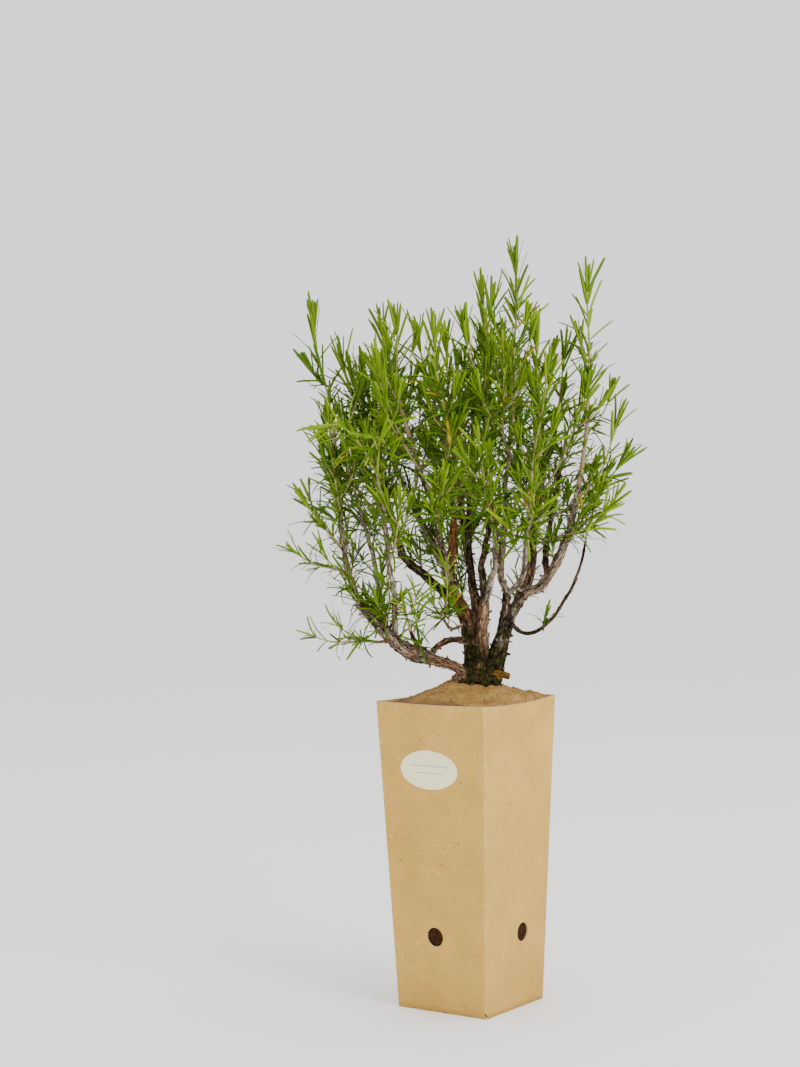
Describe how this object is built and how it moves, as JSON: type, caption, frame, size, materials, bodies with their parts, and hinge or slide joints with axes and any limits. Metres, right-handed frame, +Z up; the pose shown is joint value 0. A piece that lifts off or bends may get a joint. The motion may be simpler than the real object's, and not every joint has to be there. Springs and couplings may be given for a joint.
{
  "type": "potted rosemary plant",
  "caption": "Rosemary bush with gnarled old wood and upright needle-leaved stems, growing from a sand mound in a tall tapered square board pot with round side holes.",
  "frame": {"origin": "centre of the pot's underside, on the surface that it stands on", "axes": "+Z up, -Y out of the wall with the oval label, +X out of the wall to its right"},
  "size_m": [0.3308, 0.3028, 0.771],
  "materials": {
    "board": "matt kraft board with short pale and dark fibres",
    "label": "cream paper, slightly coated",
    "soil": "dark moist crumbs",
    "sand": "dry tan sand with dark crumbs",
    "bark": "flaking grey-brown bark, mossy at the foot",
    "leaf_bright": "leathery needles, pale below",
    "leaf_green": "leathery needles, pale below",
    "leaf_young": "young yellow-green needles",
    "leaf_dark": "older dark green needles"
  },
  "bodies": {
    "root": {"pot": "board", "label": "label", "potting_soil": "soil", "sand": "sand", "wood": "bark", "leafy_stem_01": "leaf_bright", "leafy_stem_02": "leaf_green", "leafy_stem_03": "leaf_young", "leafy_stem_04": "leaf_dark", "leafy_stem_05": "leaf_bright", "leafy_stem_06": "leaf_green", "leafy_stem_07": "leaf_young", "leafy_stem_08": "leaf_dark", "leafy_stem_09": "leaf_bright", "leafy_stem_10": "leaf_green", "leafy_stem_11": "leaf_young", "leafy_stem_12": "leaf_dark", "leafy_stem_13": "leaf_bright", "leafy_stem_14": "leaf_green", "leafy_stem_15": "leaf_young", "leafy_stem_16": "leaf_dark", "leafy_stem_17": "leaf_bright", "leafy_stem_18": "leaf_green", "leafy_stem_19": "leaf_young", "leafy_stem_20": "leaf_dark", "leafy_stem_21": "leaf_bright", "leafy_stem_22": "leaf_green", "leafy_stem_23": "leaf_young", "leafy_stem_24": "leaf_dark", "leafy_stem_25": "leaf_bright", "leafy_stem_26": "leaf_green", "leafy_stem_27": "leaf_young", "leafy_stem_28": "leaf_dark", "leafy_stem_29": "leaf_bright", "leafy_stem_30": "leaf_green", "leafy_stem_31": "leaf_young", "leafy_stem_32": "leaf_dark", "leafy_stem_33": "leaf_bright", "leafy_stem_34": "leaf_green", "leafy_stem_35": "leaf_young", "leafy_stem_36": "leaf_dark", "leafy_stem_37": "leaf_bright", "leafy_stem_38": "leaf_green", "leafy_stem_39": "leaf_young", "leafy_stem_40": "leaf_dark", "leafy_stem_41": "leaf_bright", "leafy_stem_42": "leaf_green", "leafy_stem_43": "leaf_young", "leafy_stem_44": "leaf_dark", "leafy_stem_45": "leaf_bright", "leafy_stem_46": "leaf_green", "leafy_stem_47": "leaf_young", "leafy_stem_48": "leaf_dark", "leafy_stem_49": "leaf_bright", "leafy_stem_50": "leaf_green", "leafy_stem_51": "leaf_young", "leafy_stem_52": "leaf_dark", "leafy_stem_53": "leaf_bright", "leafy_stem_54": "leaf_green", "leafy_stem_55": "leaf_young"}
  },
  "joints": []
}
